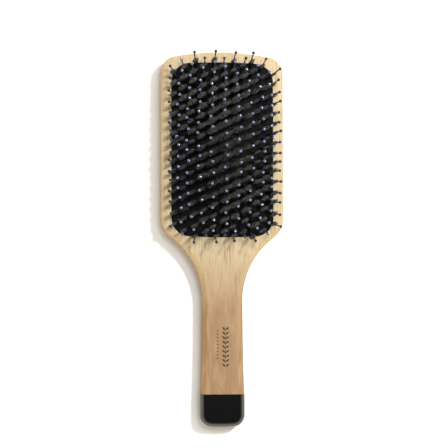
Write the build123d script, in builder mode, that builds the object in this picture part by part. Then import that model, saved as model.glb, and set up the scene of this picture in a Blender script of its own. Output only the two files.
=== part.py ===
from build123d import *
import os
import random
from math import cos, pi, radians, sin, sqrt

# A cushion hairbrush lying on its back. X runs across the brush, Y from the handle to the
# head, Z up through the bristles. The origin is under the middle of the whole brush.

# ---- wooden paddle -------------------------------------------------------------------
overall_length = 240.0
head_width = 78.8
head_thickness = 15.0
head_corner_radius = 11.0
head_end_arch = 5.0  # how far the middle of the head's end stands past its corners
shoulder_y = 12.5  # where the straight sides of the head stop
shoulder_radius = 14.0
neck_radius = 50.0
neck_turn = 50.0  # degrees that the outline turns at the shoulder, and back at the neck
neck_width = 26.0
handle_end_width = 28.0
handle_thickness = 13.6
face_dip_start = 6.0  # the front face starts to sink towards the handle here
face_dip_end = -46.0
back_edge_radius = 5.5
front_edge_radius = 3.5

# ---- lacquered end cap over the handle's tenon ---------------------------------------
cap_length = 20.9
cap_proud = 0.3
cap_wall = 3.0
cap_corner_radius = 7.5
cap_end_arch = 1.2
cap_front_radius = 3.8
tenon_corner_radius = 2.0
tenon_gap = 0.1  # glue line round the tenon
tenon_end_gap = 0.5

# ---- rubber cushion ------------------------------------------------------------------
opening_half_width = 32.7
opening_half_length = 56.2
opening_corner_radius = 12.0
opening_arch = 1.4
opening_y = 56.8
recess_floor = 5.0
groove_bottom = 10.8
groove_height = 2.2
groove_depth = 2.2
rim_gap = 0.1
rim_wall = 1.1
rubber_thickness = 1.5
rubber_edge_height = 14.2
crown_rise = 9.5  # how far the cushion bulges above its edge
crown_wave = 42.0  # half the wavelength of the bulge across the brush
crown_power = 2.2  # how square the bulge is along the brush
bulge_margin = 1.02  # the domed surface is made a little too large, then trimmed
bulge_columns = 16
bulge_rows = 28
vent_radius = 0.8
vent_y = 3.2

# ---- bristles ------------------------------------------------------------------------
columns = 11
column_pitch = 5.7
pin_pitch = 6.1
long_column_pins = 18
outer_column_pins = 16
end_lean = 0.45  # slope of the end rows' quills towards the brush's ends
lean_spread = 0.05  # most that a quill's slope strays from its neighbours', each way
lean_seed = 11
quill_length = 19.0  # from the rubber to the middle of the ball
quill_radius = 0.4
ball_radius = 0.95
quill_head_radius = 1.5
quill_head_top = -4.2  # heights along a quill are counted from the rubber's outer face
quill_head_bottom = -4.8
tuft_bore_radius = 0.5
tuft_root_radius = 1.1
tuft_tip_radius = 2.3
tuft_bottom = -1.2
tuft_spread_start = 1.0
tuft_shoulder = 12.0
tuft_top = 13.5
hole_radius = 1.45
ring_bore_radius = 1.3
ring_radius = 2.1
ring_top = -2.4
ring_bottom = -3.4

head_end_y = overall_length / 2
tail_y = -overall_length / 2
cap_start_y = tail_y + cap_length


def bulge_across(x):
    """Share of the crown's height at x, 1 on the centre line and 0 at the opening's edge."""
    edge = cos(pi * opening_half_width / crown_wave)
    return (cos(pi * x / crown_wave) - edge) / (1 - edge)


def bulge_along(y):
    """Share of the crown's height at y, 1 in the middle and 0 at the opening's ends."""
    return 1 - abs((y - opening_y) / opening_half_length) ** crown_power


def cushion_height(x, y):
    """Height of the rubber's outer face."""
    return rubber_edge_height + crown_rise * bulge_across(x) * bulge_along(y)


def slope_across(x, y):
    """Sideways slope of a quill: the rubber's own slope, kept up in the outer columns' ends."""
    step = 0.01
    steepness = crown_rise * (bulge_across(x - step) - bulge_across(x + step)) / (2 * step)
    outward = abs(x / column_x(0)) ** 4
    share = bulge_along(y)
    return steepness * (share + (1 - share) * outward)


def slope_along(x, y):
    """Slope of a quill towards the brush's ends. It grows evenly in the middle columns."""
    to_end = (y - opening_y) / ((long_column_pins - 1) / 2 * pin_pitch)
    share = bulge_across(x)
    return end_lean * to_end * (share + (1 - share) * to_end**4)


def quill_plane(x, y):
    """A plane at the rubber's outer face, with its Z pointing out along the quill."""
    return Plane(
        origin=(x, y, cushion_height(x, y)),
        z_dir=(
            slope_across(x, y) + chance.uniform(-lean_spread, lean_spread),
            slope_along(x, y) + chance.uniform(-lean_spread, lean_spread),
            1,
        ),
    )


def column_x(column):
    return (column - (columns - 1) / 2) * column_pitch


def column_planes(column):
    """The places of one column's quills. Every other column is a pin shorter."""
    pins = long_column_pins - column % 2
    if column in (0, columns - 1):
        pins = outer_column_pins
    ys = [opening_y + (pin - (pins - 1) / 2) * pin_pitch for pin in range(pins)]
    return [quill_plane(column_x(column), y) for y in ys]


def save(builder, name):
    builder.part.label = name
    export_step(builder.part, f"parts/{name}.step")


os.makedirs("parts", exist_ok=True)

chance = random.Random(lean_seed)
planes_of_columns = [column_planes(column) for column in range(columns)]

# ---- outline of the opening in the head ----------------------------------------------
with BuildSketch(Plane.XY) as opening:
    with BuildLine():
        side_end = opening_half_length - opening_arch
        far_left = (-opening_half_width, opening_y + side_end)
        far_right = (opening_half_width, opening_y + side_end)
        near_left = (-opening_half_width, opening_y - side_end)
        near_right = (opening_half_width, opening_y - side_end)
        Line(near_right, far_right)
        ThreePointArc(far_right, (0, opening_y + opening_half_length), far_left)
        Line(far_left, near_left)
        ThreePointArc(near_left, (0, opening_y - opening_half_length), near_right)
    make_face()
    fillet(opening.vertices(), opening_corner_radius)


def opening_prism(grow, bottom, top):
    """A block with the opening's outline, grown outwards by grow."""
    with BuildPart() as block:
        with BuildSketch(Plane.XY.offset(bottom)):
            add(opening.sketch)
            offset(amount=grow)
        extrude(amount=top - bottom)
    return block.part


# ---- wooden body ---------------------------------------------------------------------
turned_in = 1 - cos(radians(neck_turn))
slant_x = (head_width - neck_width) / 2 - (shoulder_radius + neck_radius) * turned_in
slant = slant_x / sin(radians(neck_turn))
slant_direction = (-sin(radians(neck_turn)), -cos(radians(neck_turn)))

with BuildPart() as wooden_body:
    with BuildSketch(Plane.XY):
        with BuildLine() as half_outline:
            corner = (head_width / 2, head_end_y - head_end_arch)
            arch_radius = (corner[0] ** 2 + head_end_arch**2) / (2 * head_end_arch)
            arch_middle_x = corner[0] / 2
            arch_middle_y = head_end_y - arch_radius + sqrt(arch_radius**2 - arch_middle_x**2)
            ThreePointArc((0, head_end_y), (arch_middle_x, arch_middle_y), corner)
            side = Line(corner, (corner[0], shoulder_y))
            shoulder = JernArc(side @ 1, (0, -1), shoulder_radius, -neck_turn)
            slanted = PolarLine(shoulder @ 1, slant, direction=slant_direction)
            neck = JernArc(slanted @ 1, slant_direction, neck_radius, neck_turn)
            grip = TangentArc(neck @ 1, (handle_end_width / 2, cap_start_y), tangent=(0, -1))
            Line(grip @ 1, (0, cap_start_y))
            mirror(about=Plane.YZ)
        make_face()
        head_corners = vertices().group_by(Axis.Y)[-1]
        fillet(head_corners, head_corner_radius)
    extrude(amount=head_thickness)

    # The front face sinks in a gentle S from the head to the handle.
    with BuildSketch(Plane.YZ):
        with BuildLine():
            dip_middle_y = (face_dip_start + face_dip_end) / 2
            dip_middle_z = (head_thickness + handle_thickness) / 2
            upper = Line((head_end_y + 1, head_thickness), (face_dip_start, head_thickness))
            down = TangentArc(upper @ 1, (dip_middle_y, dip_middle_z), tangent=(-1, 0))
            level = TangentArc(down @ 1, (face_dip_end, handle_thickness), tangent=down % 1)
            lower = Line(level @ 1, (tail_y, handle_thickness))
            Polyline(lower @ 1, (tail_y, 0), (head_end_y + 1, 0), upper @ 0)
        make_face()
    extrude(amount=head_width, both=True, mode=Mode.INTERSECT)

    flat_back = faces().sort_by(Axis.Z)[0]
    back_loop = flat_back.edges().filter_by(Axis.X, reverse=True)
    fillet(back_loop, back_edge_radius)
    front_faces = faces().filter_by(lambda face: face.normal_at().Z > 0.9)
    front_loop = front_faces.edges().filter_by(Axis.X, reverse=True)
    fillet(front_loop, front_edge_radius)

    add(opening_prism(0, recess_floor, head_thickness + 1), mode=Mode.SUBTRACT)
    add(opening_prism(groove_depth, groove_bottom, groove_bottom + groove_height), mode=Mode.SUBTRACT)

    # Tenon that carries the end cap.
    tenon_x = handle_end_width / 2 - cap_wall
    tenon_length = cap_length - cap_wall - tenon_end_gap
    with BuildSketch(Plane.XZ.offset(-cap_start_y)):
        with Locations((0, handle_thickness / 2)):
            RectangleRounded(2 * tenon_x, handle_thickness - 2 * cap_wall, tenon_corner_radius)
    extrude(amount=tenon_length)
save(wooden_body, "wooden_body")

# ---- end cap -------------------------------------------------------------------------
with BuildPart() as end_cap:
    half_cap = handle_end_width / 2 + cap_proud
    with BuildSketch(Plane.XY):
        with BuildLine():
            start_right = (half_cap, cap_start_y)
            start_left = (-half_cap, cap_start_y)
            end_right = (half_cap, tail_y + cap_end_arch)
            end_left = (-half_cap, tail_y + cap_end_arch)
            Line(start_left, start_right)
            Line(start_right, end_right)
            ThreePointArc(end_right, (0, tail_y), end_left)
            Line(end_left, start_left)
        make_face()
        tail_corners = vertices().group_by(Axis.Y)[0]
        fillet(tail_corners, cap_corner_radius)
    extrude(amount=handle_thickness + cap_proud)
    cap_back = faces().sort_by(Axis.Z)[0].edges().group_by(Axis.Y)[:-1]
    fillet([edge for group in cap_back for edge in group], back_edge_radius)
    cap_front = faces().sort_by(Axis.Z)[-1].edges().group_by(Axis.Y)[:-1]
    fillet([edge for group in cap_front for edge in group], cap_front_radius)
    with BuildSketch(Plane.XZ.offset(-cap_start_y)):
        with Locations((0, handle_thickness / 2)):
            pocket_width = 2 * (tenon_x + tenon_gap)
            pocket_height = handle_thickness - 2 * (cap_wall - tenon_gap)
            RectangleRounded(pocket_width, pocket_height, tenon_corner_radius)
    extrude(amount=cap_length - cap_wall, mode=Mode.SUBTRACT)
save(end_cap, "end_cap")

# ---- rubber cushion ------------------------------------------------------------------
# The domed face is a smooth surface through a grid of points on the bulge.
bulge_points = []
for i in range(bulge_columns + 1):
    x = opening_half_width * bulge_margin * (2 * i / bulge_columns - 1)
    ys = [opening_half_length * bulge_margin * (2 * j / bulge_rows - 1) for j in range(bulge_rows + 1)]
    bulge_points.append([(x, opening_y + y, cushion_height(x, opening_y + y)) for y in ys])
bulge_face = Face.make_surface_from_array_of_points(bulge_points)
dome_slab = Solid.extrude(bulge_face, (0, 0, -rubber_thickness))

with BuildPart() as membrane:
    add(dome_slab)
    dome_top = rubber_edge_height + 2 * crown_rise
    add(opening_prism(-rim_gap, recess_floor, dome_top), mode=Mode.INTERSECT)

with BuildPart() as rubber_cushion:
    rim_top = rubber_edge_height - rubber_thickness / 2
    add(opening_prism(-rim_gap, groove_bottom, rim_top))
    add(opening_prism(groove_depth - rim_gap, groove_bottom, groove_bottom + groove_height))
    add(opening_prism(-rim_gap - rim_wall, groove_bottom - 1, rim_top + 1), mode=Mode.SUBTRACT)
    add(membrane.part)
    for planes in planes_of_columns:
        with Locations(*planes):
            Cylinder(hole_radius, 4 * rubber_thickness, mode=Mode.SUBTRACT)
    with Locations((0, vent_y, cushion_height(0, vent_y))):
        Cylinder(vent_radius, 4 * rubber_thickness, mode=Mode.SUBTRACT)
save(rubber_cushion, "rubber_cushion")

# ---- bristles ------------------------------------------------------------------------
# One quill, one tuft and one ring stand at the origin; each column is made of their copies.
with BuildPart() as quill:
    with BuildSketch(Plane.XZ):
        with BuildLine():
            ball_bottom = quill_length - sqrt(ball_radius**2 - quill_radius**2)
            Polyline(
                (0, quill_head_bottom),
                (quill_head_radius, quill_head_bottom),
                (quill_head_radius, quill_head_top),
                (quill_radius, quill_head_top),
                (quill_radius, ball_bottom),
            )
            ThreePointArc(
                (quill_radius, ball_bottom),
                (ball_radius, quill_length),
                (0, quill_length + ball_radius),
            )
            Line((0, quill_length + ball_radius), (0, quill_head_bottom))
        make_face()
    revolve(axis=Axis.Z)

with BuildPart() as tuft:
    with BuildSketch(Plane.XZ):
        with BuildLine():
            Polyline(
                (tuft_bore_radius, tuft_bottom),
                (tuft_root_radius, tuft_bottom),
                (tuft_root_radius, tuft_spread_start),
                (tuft_tip_radius, tuft_shoulder),
                (tuft_tip_radius / 2, tuft_top),
                (tuft_bore_radius, tuft_top),
                close=True,
            )
        make_face()
    revolve(axis=Axis.Z)

with BuildPart() as ring:
    with BuildSketch(Plane.XY.offset(ring_bottom)):
        Circle(ring_radius)
        Circle(ring_bore_radius, mode=Mode.SUBTRACT)
    extrude(amount=ring_top - ring_bottom)

for piece, name in ((quill, "quills"), (tuft, "bristle_tufts"), (ring, "tuft_rings")):
    for column, planes in enumerate(planes_of_columns, start=1):
        with BuildPart() as column_of_pieces:
            with Locations(*planes):
                add(piece.part)
        save(column_of_pieces, f"{name}_column_{column:02d}")
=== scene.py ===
# %% [markdown]
# # A cushion hairbrush
# The brush is a wooden paddle with a domed rubber cushion let into its head. Ball-tipped nylon
# quills stand in the rubber, each in a tuft of natural bristle, and the handle ends in a cap of
# black lacquer. The measured model holds every piece and every joint, so this script loads it
# and only gives it its looks: finishes for the hard pieces, and new meshes for the rubber and
# the bristles, which are soft.

# %% Load the measured model
import math
import random

import bmesh
import bpy
from mathutils import Matrix, Vector
from mathutils.kdtree import KDTree


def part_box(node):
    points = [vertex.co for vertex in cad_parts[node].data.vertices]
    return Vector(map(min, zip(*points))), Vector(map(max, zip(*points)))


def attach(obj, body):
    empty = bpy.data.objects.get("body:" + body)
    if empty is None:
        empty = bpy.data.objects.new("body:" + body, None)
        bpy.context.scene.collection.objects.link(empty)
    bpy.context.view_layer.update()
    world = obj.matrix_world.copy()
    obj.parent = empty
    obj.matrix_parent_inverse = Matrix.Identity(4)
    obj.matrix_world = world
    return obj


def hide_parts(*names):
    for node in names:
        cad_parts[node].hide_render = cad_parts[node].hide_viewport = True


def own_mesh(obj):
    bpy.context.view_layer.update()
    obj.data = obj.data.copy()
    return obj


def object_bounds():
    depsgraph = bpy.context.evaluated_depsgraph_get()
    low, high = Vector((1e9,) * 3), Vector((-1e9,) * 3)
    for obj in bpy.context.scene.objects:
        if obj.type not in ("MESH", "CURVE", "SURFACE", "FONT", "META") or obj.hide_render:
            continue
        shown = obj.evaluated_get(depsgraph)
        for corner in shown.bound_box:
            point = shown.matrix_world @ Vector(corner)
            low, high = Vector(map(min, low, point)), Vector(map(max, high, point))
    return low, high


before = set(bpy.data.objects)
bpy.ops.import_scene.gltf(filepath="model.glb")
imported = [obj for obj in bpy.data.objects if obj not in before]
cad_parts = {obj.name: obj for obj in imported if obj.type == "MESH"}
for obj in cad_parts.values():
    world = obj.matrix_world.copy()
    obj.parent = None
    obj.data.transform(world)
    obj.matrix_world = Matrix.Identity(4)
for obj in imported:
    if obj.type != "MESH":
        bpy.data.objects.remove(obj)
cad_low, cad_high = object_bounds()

MM = 0.001
COLUMNS = 11
OPENING_Y = 56.8 * MM  # middle of the opening in the head
WELD = 0.001 * MM  # points closer than this are one point
wood_low, wood_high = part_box("wooden_body")
cap_low, cap_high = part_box("end_cap")
rubber_low, rubber_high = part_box("rubber_cushion")
print("the brush measures", [round(side / MM, 1) for side in cad_high - cad_low], "mm")

# %% [markdown]
# ## Helpers for finishes
# Blender shades in linear light, but people pick colours as sRGB hex codes, so one function
# turns the code into linear numbers. A second function adds one shader node: it fills the
# node's sockets or properties by name and links other nodes into it.

# %% Colour and node helpers
def paint(code):
    """The linear colour of an sRGB hex code such as "c8a67d"."""
    channels = [int(code[i : i + 2], 16) / 255 for i in (0, 2, 4)]
    linear = [c / 12.92 if c <= 0.04045 else ((c + 0.055) / 1.055) ** 2.4 for c in channels]
    return (*linear, 1.0)


def add_node(tree, kind, settings=(), links=()):
    """Add a node to a tree, set its sockets or properties, and link outputs into it."""
    node = tree.nodes.new("ShaderNode" + kind)
    for name, value in dict(settings).items():
        if name == "stops":
            ramp = node.color_ramp
            while len(ramp.elements) < len(value):
                ramp.elements.new(0.5)
            for element, (place, colour) in zip(ramp.elements, value):
                element.position = place
                element.color = colour
        elif isinstance(name, int) or name in node.inputs:
            node.inputs[name].default_value = value
        else:
            setattr(node, name, value)
    for name, output in dict(links).items():
        tree.links.new(output, node.inputs[name])
    return node


def blend_colours(tree, share, first, second):
    """Mix two colours. Each may be a hex code or a node's output."""
    mix = add_node(tree, "Mix", {"data_type": "RGBA"})
    for socket, value in ((0, share), (6, first), (7, second)):
        if isinstance(value, str):
            mix.inputs[socket].default_value = paint(value)
        elif isinstance(value, float):
            mix.inputs[socket].default_value = value
        else:
            tree.links.new(value, mix.inputs[socket])
    return mix.outputs[2]


def share_between(tree, value, low, high, top=1.0):
    """0 where value is at low, and top where it is at high."""
    settings = {"From Min": low, "From Max": high, "To Max": top}
    return add_node(tree, "MapRange", settings, {"Value": value}).outputs[0]


def new_finish(name):
    """An empty material, its node tree and its surface shader."""
    material = bpy.data.materials.new(name)
    material.use_nodes = True
    tree = material.node_tree
    tree.nodes.clear()
    surface = add_node(tree, "BsdfPrincipled")
    add_node(tree, "OutputMaterial", links={"Surface": surface.outputs["BSDF"]})
    return material, tree, surface


def finish_node(name, material):
    """Give a CAD node its finish."""
    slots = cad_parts[name].material_slots
    for slot in slots:
        slot.link = "OBJECT"
        slot.material = material


def finish_piece(bm, name, material):
    """Turn a bmesh into a smooth object at the origin with one material."""
    mesh = bpy.data.meshes.new(name)
    bm.to_mesh(mesh)
    bm.free()
    mesh.materials.append(material)
    mesh.shade_smooth()
    piece = bpy.data.objects.new(name, mesh)
    bpy.context.scene.collection.objects.link(piece)
    return piece


# %% [markdown]
# ## The stage
# The brush lies on its back on a white table and is seen from almost straight above. The
# camera leans a few degrees towards the lower left, which is why more bristle tips show past
# the far and the right side of the head.

# %% Camera
scene = bpy.context.scene
scene.view_settings.view_transform = "Standard"

view_middle = Vector((0.9 * MM, 9.1 * MM, wood_high.z))
view_distance = 0.9
view_width = 285.7 * MM
lean_left = math.radians(5.3)
lean_down = math.radians(3.3)
roll = math.radians(-0.12)
sensor_width = 36.0

back = Vector((-math.tan(lean_left), -math.tan(lean_down), 1)).normalized()
right = Vector((0, 1, 0)).cross(back).normalized()
up = back.cross(right)
turned = Matrix.Rotation(roll, 3, back)
right, up = turned @ right, turned @ up
camera = bpy.data.objects.new("camera", bpy.data.cameras.new("camera"))
camera.data.sensor_width = sensor_width
camera.data.lens = sensor_width * view_distance / view_width
camera.data.clip_end = 20
camera.matrix_world = Matrix((right, up, back)).transposed().to_4x4()
camera.location = view_middle + view_distance * back
scene.collection.objects.link(camera)
scene.camera = camera

# %% [markdown]
# One soft box stands high on the right and throws a short soft shadow to the lower left. The
# rest of the light comes from white walls, so the sky is bright near the horizon and dark
# overhead: the flat black cap has to mirror something dark to look black.

# %% Lights
key_place = Vector((0.41, 0.33, 0.9))
key_target = Vector((0, 0.04, 0))
key_size = 0.13
key_power = 9.5
key_light = bpy.data.lights.new("soft_box", "AREA")
key_light.shape = "DISK"
key_light.size = key_size
key_light.energy = key_power
key_light.color = (1.0, 0.985, 0.96)
key = bpy.data.objects.new("soft_box", key_light)
key.location = key_place
key.rotation_euler = (key_place - key_target).to_track_quat("Z", "Y").to_euler()
scene.collection.objects.link(key)

# %% [markdown]
# A second, wide soft box hangs above the head. It is what puts a bright spot on the top of
# every ball, and its sheen makes the varnish of the neck look paler than the handle's.

# %% Overhead light
overhead_place = Vector((0.1, 0.17, 0.95))
overhead_size = 0.26
overhead_power = 4.8
overhead_light = bpy.data.lights.new("overhead_box", "AREA")
overhead_light.shape = "SQUARE"
overhead_light.size = overhead_size
overhead_light.energy = overhead_power
overhead_light.color = (0.6, 0.8, 1.0)
overhead = bpy.data.objects.new("overhead_box", overhead_light)
overhead.location = overhead_place
scene.collection.objects.link(overhead)

# %% Room
wall_strength = 3.3
room = bpy.data.worlds.new("white_room")
room.use_nodes = True
sky = room.node_tree
sky.nodes.clear()
direction = add_node(sky, "TexCoord")
height = add_node(sky, "SeparateXYZ", links={0: direction.outputs["Generated"]})
walls = add_node(
    sky,
    "ValToRGB",
    {
        "stops": [
            (0.0, (1, 0.935, 0.85, 1)),
            (0.45, (0.45, 0.43, 0.4, 1)),
            (0.9, (0.025, 0.024, 0.022, 1)),
            (1.0, (0.015, 0.015, 0.015, 1)),
        ]
    },
    {0: height.outputs["Z"]},
)
glow = add_node(sky, "Background", {"Strength": wall_strength}, {"Color": walls.outputs["Color"]})
add_node(sky, "OutputWorld", links={"Surface": glow.outputs[0]})
scene.world = room

# %% [markdown]
# The table is matt white card, which takes the shadow and mirrors nothing.

# %% Floor
card, tree, surface = new_finish("matt_white_card")
surface.inputs["Base Color"].default_value = paint("e8dfd3")
surface.inputs["Roughness"].default_value = 0.9
floor_size = 3.0
bm = bmesh.new()
bmesh.ops.create_grid(bm, x_segments=1, y_segments=1, size=floor_size / 2)
bmesh.ops.translate(bm, verts=bm.verts, vec=(0, 0, cad_low.z))
floor = finish_piece(bm, "table_top", card)

# %% [markdown]
# ## Varnished beech
# Beech is pale, with a straight fine grain along the board, cloudy paler and browner streaks,
# and short dark flecks where its rays are cut. Noise that is stretched along Y draws all of
# them. The board is painted paler towards the head, a painted sheen of the varnish on the
# neck, and its rounded edges are painted browner, a painted shade where they turn away from
# the light. Two coats of satin varnish give a soft sheen.

# %% Beech finish
# Painted sheen of the neck's varnish: the board is painted paler between these two places.
NECK_SHEEN_FROM, NECK_SHEEN_TO = -48 * MM, -8 * MM  # the board turns paler along this part of the neck
GRAIN = (0.8 * MM, 18 * MM)  # width across the board, length along it
CLOUD = (6 * MM, 26 * MM)
BAND = (11 * MM, 90 * MM)
FLECK = (0.5 * MM, 3.5 * MM)  # real flecks are finer and would not show at this size

beech, tree, surface = new_finish("satin_varnished_beech")
coordinates = add_node(tree, "TexCoord")
place = coordinates.outputs["Object"]


def stretched_noise(size, detail, distortion):
    """Noise whose patches are as wide and as long as size."""
    width, length = size
    scaled = add_node(
        tree,
        "Mapping",
        {"Scale": (1 / width, 1 / length, 1 / width)},
        {"Vector": place},
    )
    return add_node(
        tree,
        "TexNoise",
        {"Scale": 1.0, "Detail": detail, "Distortion": distortion},
        {"Vector": scaled.outputs["Vector"]},
    ).outputs["Fac"]


grain = stretched_noise(GRAIN, 5.0, 0.2)
cloud = stretched_noise(CLOUD, 4.0, 1.2)
band = stretched_noise(BAND, 2.0, 0.8)
fleck = stretched_noise(FLECK, 1.0, 0.0)

length_of_board = add_node(tree, "SeparateXYZ", links={0: place})
# Painted sheen: the board is painted paler towards the head, where the neck's varnish shines.
painted_neck_sheen = share_between(tree, length_of_board.outputs["Y"], NECK_SHEEN_FROM, NECK_SHEEN_TO)
board = blend_colours(tree, painted_neck_sheen, "845f33", "b0986f")
clouded = blend_colours(tree, share_between(tree, cloud, 0.4, 0.7, 0.35), board, "ac9063")
banded = blend_colours(tree, share_between(tree, band, 0.45, 0.72, 0.16), clouded, "795732")
grained = blend_colours(tree, share_between(tree, grain, 0.48, 0.7, 0.5), banded, "6d4f2d")
flecked = blend_colours(tree, share_between(tree, fleck, 0.64, 0.74, 0.3), grained, "5c4228")
# Painted shade: faces that turn from up towards the side, the rounded edges, are painted browner.
facing = add_node(tree, "SeparateXYZ", links={0: coordinates.outputs["Normal"]})
painted_side_shade = share_between(tree, facing.outputs["Z"], 0.75, 0.15, 0.5)
side_shaded = blend_colours(tree, painted_side_shade, flecked, "44372b")
tree.links.new(side_shaded, surface.inputs["Base Color"])
sheen_map = add_node(tree, "MapRange", {"To Min": 0.52, "To Max": 0.62}, {"Value": grain})
tree.links.new(sheen_map.outputs[0], surface.inputs["Roughness"])
relief = add_node(
    tree,
    "Bump",
    {"Strength": 0.15, "Distance": 0.05 * MM, "invert": True},
    {"Height": grain},
)
tree.links.new(relief.outputs["Normal"], surface.inputs["Normal"])
surface.inputs["Coat Weight"].default_value = 0.2
surface.inputs["Coat Roughness"].default_value = 0.45
finish_node("wooden_body", beech)

# %% [markdown]
# ## The print on the handle
# The handle carries a plain printed ornament: a sprig with pairs of leaves, beside a row of
# dots. It is ink a few hundredths of a millimetre thick, so each leaf is a thin flat disc
# that is squeezed to a point at both ends.

# %% Ink finish
INK_THICKNESS = 0.03 * MM
SPECKLE_SIZE = 0.4 * MM
ink, tree, surface = new_finish("screen_printed_brown_ink")
place = add_node(tree, "TexCoord").outputs["Object"]
speckle = add_node(tree, "TexNoise", {"Scale": 1 / SPECKLE_SIZE, "Detail": 2.0}, {"Vector": place})
ink_tone = add_node(
    tree,
    "ValToRGB",
    {"stops": [(0.35, paint("2c1a10")), (0.7, paint("49301e"))]},
    {0: speckle.outputs["Fac"]},
)
tree.links.new(ink_tone.outputs["Color"], surface.inputs["Base Color"])
surface.inputs["Roughness"].default_value = 0.45
surface.inputs["Specular IOR Level"].default_value = 0.15

# %% Printed ornament
LEAF_LENGTH = 2.7 * MM
LEAF_WIDTH = 1.1 * MM
LEAF_STEP = 2.9 * MM
LEAF_PAIRS = 9
LEAF_OUT = 1.15 * MM
LEAF_TILT = math.radians(42)
STEM_WIDTH = 0.35 * MM
SPRIG_PLACE = (1.9 * MM, -69.0 * MM)
DOT_SIZE = 0.9 * MM
DOT_STEP = 2.2 * MM
DOTS = 9
DOTS_PLACE = (-3.2 * MM, -67.5 * MM)
CIRCLE_SIDES = 16
HANDLE_FACE = 13.6 * MM


def print_shape(bm, place, width, length, tilt=0.0, pointed=False):
    """Add one thin printed shape that lies on the handle's face."""
    disc = bmesh.ops.create_circle(bm, cap_ends=True, radius=0.5, segments=CIRCLE_SIDES)["verts"]
    if pointed:
        for vert in disc:
            vert.co.x *= math.sqrt(max(0.0, 1 - (2 * vert.co.y) ** 2))
    face = disc[0].link_faces[0]
    raised = bmesh.ops.extrude_face_region(bm, geom=[face])["geom"]
    top = [item for item in raised if isinstance(item, bmesh.types.BMVert)]
    bmesh.ops.translate(bm, vec=(0, 0, INK_THICKNESS), verts=top)
    whole = disc + top
    bmesh.ops.scale(bm, vec=(width, length, 1), verts=whole)
    bmesh.ops.rotate(bm, cent=(0, 0, 0), matrix=Matrix.Rotation(tilt, 3, "Z"), verts=whole)
    bmesh.ops.translate(bm, vec=(*place, HANDLE_FACE), verts=whole)


bm = bmesh.new()
stem_x, sprig_y = SPRIG_PLACE
print_shape(bm, SPRIG_PLACE, STEM_WIDTH, (LEAF_PAIRS + 0.6) * LEAF_STEP)
for index in range(LEAF_PAIRS):
    y = sprig_y + (index - (LEAF_PAIRS - 1) / 2) * LEAF_STEP
    for side in (-1, 1):
        place = (stem_x + side * LEAF_OUT, y)
        print_shape(bm, place, LEAF_WIDTH, LEAF_LENGTH, -side * LEAF_TILT, pointed=True)
dots_x, dots_y = DOTS_PLACE
for index in range(DOTS):
    y = dots_y + (index - (DOTS - 1) / 2) * DOT_STEP
    print_shape(bm, (dots_x, y), DOT_SIZE, DOT_SIZE)
bmesh.ops.remove_doubles(bm, verts=bm.verts, dist=WELD)
bmesh.ops.recalc_face_normals(bm, faces=bm.faces)
print("faces of the ornament", len(bm.faces))
ornament = finish_piece(bm, "printed_leaf_ornament", ink)
ornament.data.shade_flat()
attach(ornament, "paddle")

# %% [markdown]
# ## Black lacquer
# The end of the handle is dipped lacquer: very dark, smooth, with a faint orange-peel wave
# that breaks up its reflections.

# %% Lacquer finish
PEEL_SIZE = 2.5 * MM
lacquer, tree, surface = new_finish("black_dip_lacquer")
surface.inputs["Base Color"].default_value = paint("080707")
surface.inputs["Roughness"].default_value = 0.14
surface.inputs["Coat Weight"].default_value = 0.35
surface.inputs["Coat Roughness"].default_value = 0.06
place = add_node(tree, "TexCoord").outputs["Object"]
peel = add_node(tree, "TexNoise", {"Scale": 1 / PEEL_SIZE, "Detail": 2.0}, {"Vector": place})
relief = add_node(
    tree, "Bump", {"Strength": 0.1, "Distance": 0.05 * MM}, {"Height": peel.outputs["Fac"]}
)
tree.links.new(relief.outputs["Normal"], surface.inputs["Normal"])
finish_node("end_cap", lacquer)

# %% [markdown]
# ## Moulded nylon
# Quills are injection moulded in black nylon. Their balls are polished, so each shows one
# small bright spot. The balls are painted dark navy, a painted blue reflection, and the slim
# shanks are painted blue-grey along their flanks, a painted reflection of the light. The balls
# that stand out over the rim are painted plain dark, with a rougher skin and no coat, so they
# show no spot.

# %% Nylon finish
BLUE_REFLECTION_SIZE = 4 * MM
RIM_TIP_SIDE = 31.0 * MM  # tips further out than this stand over the rim
RIM_TIP_END = 54.5 * MM
RIM_TIP_FADE = 1.0 * MM

nylon, tree, surface = new_finish("moulded_black_nylon")
coordinates = add_node(tree, "TexCoord")
place = coordinates.outputs["Object"]
blue_reflection_noise = add_node(tree, "TexNoise", {"Scale": 1 / BLUE_REFLECTION_SIZE, "Detail": 2.0}, {"Vector": place})
# Painted reflection: the black nylon of the balls is painted dark navy for the blue light it
# mirrors.
ball_blue_reflection = blend_colours(tree, blue_reflection_noise.outputs["Fac"], "0b1a3a", "182c5c")
# Painted reflection: faces that turn to the side, the shanks' flanks, are painted blue-grey.
facing = add_node(tree, "SeparateXYZ", links={0: coordinates.outputs["Normal"]})
painted_flank_reflection = share_between(tree, facing.outputs["Z"], 0.5, 0.2)
spot = add_node(tree, "SeparateXYZ", links={0: place})
from_middle = add_node(tree, "Math", {"operation": "ABSOLUTE"}, {0: spot.outputs["X"]})
past_side = share_between(tree, from_middle.outputs[0], RIM_TIP_SIDE, RIM_TIP_SIDE + RIM_TIP_FADE)
along = add_node(tree, "Math", {"operation": "SUBTRACT", 1: OPENING_Y}, {0: spot.outputs["Y"]})
from_centre = add_node(tree, "Math", {"operation": "ABSOLUTE"}, {0: along.outputs[0]})
past_end = share_between(tree, from_centre.outputs[0], RIM_TIP_END, RIM_TIP_END + RIM_TIP_FADE)
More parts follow.
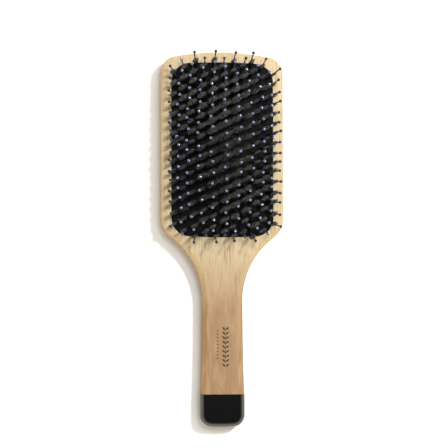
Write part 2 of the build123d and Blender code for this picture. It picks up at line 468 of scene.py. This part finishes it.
# The balls over the rim are painted plain dark without the painted blue, rougher and without coat.
over_rim = add_node(tree, "Math", {"operation": "MAXIMUM"}, {0: past_side, 1: past_end})
dulled = add_node(tree, "MapRange", {"To Min": 0.2, "To Max": 0.6}, {"Value": over_rim.outputs[0]})
tree.links.new(dulled.outputs[0], surface.inputs["Roughness"])
over_rim_tone = blend_colours(tree, over_rim.outputs[0], ball_blue_reflection, "100c0b")
nylon_tone = blend_colours(tree, painted_flank_reflection, over_rim_tone, "474d58")
tree.links.new(nylon_tone, surface.inputs["Base Color"])
gloss = add_node(tree, "MapRange", {"To Min": 0.9, "To Max": 0.0}, {"Value": over_rim.outputs[0]})
tree.links.new(gloss.outputs[0], surface.inputs["Coat Weight"])
surface.inputs["IOR"].default_value = 1.6
surface.inputs["Specular IOR Level"].default_value = 0.6
surface.inputs["Specular Tint"].default_value = paint("b6caff")
surface.inputs["Coat Roughness"].default_value = 0.14
surface.inputs["Coat IOR"].default_value = 2.1
for column in range(1, COLUMNS + 1):
    finish_node(f"quills_column_{column:02d}", nylon)

# %% [markdown]
# The rings that hold the tufts sit under the rubber. They are fused plastic with a dull skin.

# %% Ring finish
BLOTCH_SIZE = 0.8 * MM
ring_plastic, tree, surface = new_finish("fused_dull_plastic")
place = add_node(tree, "TexCoord").outputs["Object"]
blotch = add_node(tree, "TexNoise", {"Scale": 1 / BLOTCH_SIZE}, {"Vector": place})
tone = add_node(
    tree,
    "ValToRGB",
    {"stops": [(0.3, paint("1c1b1a")), (0.7, paint("2a2826"))]},
    {0: blotch.outputs["Fac"]},
)
tree.links.new(tone.outputs["Color"], surface.inputs["Base Color"])
surface.inputs["Roughness"].default_value = 0.7
for column in range(1, COLUMNS + 1):
    finish_node(f"tuft_rings_column_{column:02d}", ring_plastic)

# %% [markdown]
# ## Where the quills stand
# The bristles need the place and the direction of every quill. Each quill is one island of
# its node's mesh. The middle of its nail head and the middle of its ball both lie on its
# axis, so those two points give the direction.

# %% Read the quills from the frame
QUILL_REACH = 19.95 * MM  # from the rubber to the top of the ball
BALL_ZONE = 2.0 * MM
HEAD_ZONE = 0.8 * MM


def islands(node):
    """The points of each loose part of a CAD node's mesh."""
    bm = bmesh.new()
    bm.from_mesh(node.data)
    bmesh.ops.remove_doubles(bm, verts=bm.verts, dist=WELD)
    unseen = set(bm.verts)
    parts = []
    while unseen:
        edge_of_part = [unseen.pop()]
        part = []
        while edge_of_part:
            vert = edge_of_part.pop()
            part.append(vert.co.copy())
            for edge in vert.link_edges:
                other = edge.other_vert(vert)
                if other in unseen:
                    unseen.remove(other)
                    edge_of_part.append(other)
        parts.append(part)
    bm.free()
    return parts


def middle(points):
    return sum(points, Vector()) / len(points)


def quill_stands(column):
    """(foot, direction) of each quill of a column, the foot on the rubber's face."""
    stands = []
    for points in islands(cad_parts[f"quills_column_{column:02d}"]):
        top = max(points, key=lambda p: p.z)
        ball = middle([p for p in points if (p - top).length < BALL_ZONE])
        reach = max((p - ball).length for p in points)
        head = middle([p for p in points if (p - ball).length > reach - HEAD_ZONE])
        axis = (ball - head).normalized()
        tip = max((p - head).dot(axis) for p in points)
        stands.append((head + axis * (tip - QUILL_REACH), axis))
    return sorted(stands, key=lambda stand: stand[0].y)


stands = {column: quill_stands(column) for column in range(1, COLUMNS + 1)}
print("quills", sum(len(column) for column in stands.values()))

# %% [markdown]
# ## The rubber cushion
# The cushion is a thin domed skin of black rubber, clipped into a groove in the wood. It is
# made as a flat grid whose rows are pulled in to the rounded opening, and each point is then
# lifted onto the dome. Its outer edge is extruded down into the gap, and the skin then gets
# its thickness.

# %% Rubber finish
BLOOM_SIZE = 6 * MM
PIT_SIZE = 0.35 * MM
rubber, tree, surface = new_finish("black_pneumatic_rubber")
place = add_node(tree, "TexCoord").outputs["Object"]
bloom = add_node(tree, "TexNoise", {"Scale": 1 / BLOOM_SIZE, "Detail": 4.0}, {"Vector": place})
bloom_tone = add_node(
    tree,
    "ValToRGB",
    {"stops": [(0.35, paint("050505")), (0.7, paint("0a0909"))]},
    {0: bloom.outputs["Fac"]},
)
tree.links.new(bloom_tone.outputs["Color"], surface.inputs["Base Color"])
surface.inputs["Roughness"].default_value = 0.8
surface.inputs["Specular IOR Level"].default_value = 0.12
pits = add_node(tree, "TexNoise", {"Scale": 1 / PIT_SIZE, "Detail": 2.0}, {"Vector": place})
relief = add_node(
    tree, "Bump", {"Strength": 0.2, "Distance": 0.03 * MM}, {"Height": pits.outputs["Fac"]}
)
tree.links.new(relief.outputs["Normal"], surface.inputs["Normal"])

# %% Rubber cushion
OPENING_HALF_WIDTH = 32.7 * MM
OPENING_HALF_LENGTH = 56.2 * MM
OPENING_CORNER = 12.0 * MM
OPENING_ARCH = 1.4 * MM
RIM_GAP = 0.15 * MM
EDGE_HEIGHT = 14.2 * MM
CROWN_RISE = 9.5 * MM
CROWN_WAVE = 42.0 * MM
CROWN_POWER = 2.2
SKIRT_DEPTH = 1.2 * MM
RUBBER_THICKNESS = 1.4 * MM
DIMPLE_DEPTH = 0.35 * MM
DIMPLE_RADIUS = 1.5 * MM
GRID_STEP = 0.75 * MM


def cushion_height(x, y):
    """Height of the dome, as the measured model has it."""
    edge = math.cos(math.pi * OPENING_HALF_WIDTH / CROWN_WAVE)
    across = (math.cos(math.pi * x / CROWN_WAVE) - edge) / (1 - edge)
    along = 1 - abs((y - OPENING_Y) / OPENING_HALF_LENGTH) ** CROWN_POWER
    return EDGE_HEIGHT + CROWN_RISE * across * along


def opening_half_length(x):
    """Half the opening's length at x: a flat arch, and a round corner at each side."""
    arch = OPENING_ARCH * (x / OPENING_HALF_WIDTH) ** 2
    into_corner = max(0.0, abs(x) - (OPENING_HALF_WIDTH - OPENING_CORNER))
    corner_drop = OPENING_CORNER - math.sqrt(max(0.0, OPENING_CORNER**2 - into_corner**2))
    return OPENING_HALF_LENGTH - arch - corner_drop


bm = bmesh.new()
bmesh.ops.create_grid(
    bm,
    x_segments=round(2 * OPENING_HALF_WIDTH / GRID_STEP),
    y_segments=round(2 * OPENING_HALF_LENGTH / GRID_STEP),
    size=1.0,
)
for vert in bm.verts:
    # Columns of points crowd together near the sides, where the corners are.
    x = math.sin(vert.co.x * math.pi / 2) * (OPENING_HALF_WIDTH - RIM_GAP)
    y = OPENING_Y + vert.co.y * (opening_half_length(x) - RIM_GAP)
    vert.co = Vector((x, y, cushion_height(x, y)))
print("rubber points", len(bm.verts))

feet = [foot for column in stands.values() for foot, axis in column]
foot_tree = KDTree(len(feet))
for index, foot in enumerate(feet):
    foot_tree.insert(foot, index)
foot_tree.balance()
for vert in bm.verts:
    distance = foot_tree.find(vert.co)[2]
    vert.co.z -= DIMPLE_DEPTH * math.exp(-((distance / DIMPLE_RADIUS) ** 2))
border = [edge for edge in bm.edges if edge.is_boundary]
skirt = bmesh.ops.extrude_edge_only(bm, edges=border)["geom"]
skirt_points = [item for item in skirt if isinstance(item, bmesh.types.BMVert)]
bmesh.ops.translate(bm, verts=skirt_points, vec=(0, 0, -SKIRT_DEPTH))
bmesh.ops.remove_doubles(bm, verts=bm.verts, dist=0.01 * MM)
bmesh.ops.recalc_face_normals(bm, faces=bm.faces)
bmesh.ops.solidify(bm, geom=bm.faces[:], thickness=RUBBER_THICKNESS)
cushion = finish_piece(bm, "domed_rubber_cushion", rubber)
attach(cushion, "paddle")
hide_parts("rubber_cushion")
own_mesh(cushion)

# %% [markdown]
# ## Bristles
# A tuft is a bundle of a couple of hundred boar bristles round the quill. They are bound
# tight where they leave the rubber and fan out above. One strand is a three-sided cone cut
# into four lengths. Six different tufts are bundled from copies of it, and each place on the
# cushion gets one of the six, turned at random.

# %% Bristle finish
bristle, tree, surface = new_finish("dark_boar_bristle")
strand_uv = add_node(tree, "UVMap", {"uv_map": "strand"})
split = add_node(tree, "SeparateXYZ", links={0: strand_uv.outputs["UV"]})
# Each hair goes from near black at its root to a paler tip: the pale tip is the flagged end of
# boar bristle, and the dark root is painted shade deep inside the tuft.
along = add_node(
    tree,
    "ValToRGB",
    {
        "stops": [
            (0.0, paint("040404")),
            (0.55, paint("0d0c0b")),
            (0.85, paint("26231f")),
            (1.0, paint("4c4840")),
        ]
    },
    {0: split.outputs["Y"]},
)
tone_range = {"To Min": 0.35, "To Max": 3.4}
strand_tone = add_node(tree, "MapRange", tone_range, {"Value": split.outputs["X"]})
strand_colour = add_node(
    tree,
    "VectorMath",
    {"operation": "SCALE"},
    {0: along.outputs["Color"], "Scale": strand_tone.outputs[0]},
)
tree.links.new(strand_colour.outputs[0], surface.inputs["Base Color"])
surface.inputs["Roughness"].default_value = 0.38

# %% One strand
STRAND_SIDES = 3
STRAND_CUTS = 3
STRAND_ROOT = 0.14 * MM  # a real bristle is about half as thick and would not show
STRAND_TIP = 0.08 * MM
STRANDS = 240
TUFT_KINDS = 6
TUFT_LENGTH = 13.2 * MM
TUFT_START = -0.6 * MM
ROOT_RADIUS = 1.0 * MM
FAN_RADIUS = 2.5 * MM

bm = bmesh.new()
bmesh.ops.create_cone(
    bm,
    cap_ends=True,
    segments=STRAND_SIDES,
    radius1=STRAND_ROOT,
    radius2=STRAND_TIP,
    depth=1.0,
)
bmesh.ops.translate(bm, verts=bm.verts, vec=(0, 0, 0.5))
long_edges = [edge for edge in bm.edges if abs(edge.verts[0].co.z - edge.verts[1].co.z) > 0.5]
bmesh.ops.subdivide_edges(bm, edges=long_edges, cuts=STRAND_CUTS)
strand = bpy.data.meshes.new("strand")
bm.to_mesh(strand)
bm.free()
print("faces of a strand", len(strand.polygons))

# %% Six tufts
GOLDEN_TURN = math.pi * (3 - math.sqrt(5))
FAN_ANGLE = math.radians(28.5)  # tufts fan widest towards their diagonal neighbours
FAN_STRETCH = 1.55
TIP_WOBBLE = 0.35 * MM
DARK_BIAS = 2.2  # above 1, most hairs are dark and only a few are pale
OUTWARD_CURVE = 1.5
ROUNDED_CROWN = 0.1  # how much shorter the hairs round the outside are


def bundle_tuft(kind):
    """A tuft at the origin that stands along Z."""
    chance = random.Random(100 + kind)
    bm = bmesh.new()
    uv = bm.loops.layers.uv.new("strand")
    for index in range(STRANDS):
        ring_place = math.sqrt((index + 0.5) / STRANDS)
        angle = index * GOLDEN_TURN
        root = Vector((math.cos(angle), math.sin(angle))) * ROOT_RADIUS * ring_place
        spread = FAN_RADIUS * ring_place * chance.uniform(0.75, 1.15)
        wobble = Vector((chance.gauss(0, TIP_WOBBLE), chance.gauss(0, TIP_WOBBLE)))
        tip = Vector((math.cos(angle), math.sin(angle))) * spread + wobble
        length = TUFT_LENGTH * chance.uniform(0.86, 1.0) * (1 - ROUNDED_CROWN * ring_place**2)
        tone = chance.random() ** DARK_BIAS
        first_vert = len(bm.verts)
        first_face = len(bm.faces)
        bm.from_mesh(strand)
        bm.verts.ensure_lookup_table()
        bm.faces.ensure_lookup_table()
        for face in bm.faces[first_face:]:
            for loop in face.loops:
                loop[uv].uv = (tone, loop.vert.co.z)
        for vert in bm.verts[first_vert:]:
            share = vert.co.z
            centre = root.lerp(tip, share**OUTWARD_CURVE)
            vert.co.x += centre.x
            vert.co.y += centre.y
            vert.co.z = TUFT_START + share * length
    mesh = bpy.data.meshes.new(f"tuft_{kind}")
    bm.to_mesh(mesh)
    bm.free()
    return mesh


tufts = [bundle_tuft(kind) for kind in range(TUFT_KINDS)]
print("faces of a tuft", len(tufts[0].polygons))

# %% Bristles of each column
LEANING = 0.08  # 1 minus the cosine of the lean of the outer quills
UPRIGHT_FAN = 1.4
LEANING_FAN = 0.55
TUFT_SWAY = 0.03
UP = Vector((0, 0, 1))

chance = random.Random(7)
for column in range(1, COLUMNS + 1):
    bm = bmesh.new()
    for foot, axis in stands[column]:
        first_vert = len(bm.verts)
        bm.from_mesh(chance.choice(tufts))
        bm.verts.ensure_lookup_table()
        lean = Vector((chance.gauss(0, TUFT_SWAY), chance.gauss(0, TUFT_SWAY), 0))
        upright = UP.rotation_difference(axis + lean).to_matrix().to_4x4()
        # Upright tufts fan out more than the ones that lean over the rim.
        lean_share = min(1.0, (1 - axis.z) / LEANING)
        fan = UPRIGHT_FAN + (LEANING_FAN - UPRIGHT_FAN) * lean_share
        stretch = Matrix.Rotation(FAN_ANGLE, 4, "Z")
        stretch = stretch @ Matrix.Diagonal((fan * FAN_STRETCH, fan / FAN_STRETCH, 1, 1))
        turn = Matrix.Rotation(chance.uniform(0, 2 * math.pi), 4, "Z")
        matrix = Matrix.Translation(foot) @ upright @ stretch @ turn
        bmesh.ops.transform(bm, matrix=matrix, verts=bm.verts[first_vert:])
    piece = finish_piece(bm, f"boar_bristles_{column:02d}", bristle)
    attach(piece, f"bristles_{column:02d}")
    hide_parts(f"bristle_tufts_column_{column:02d}")
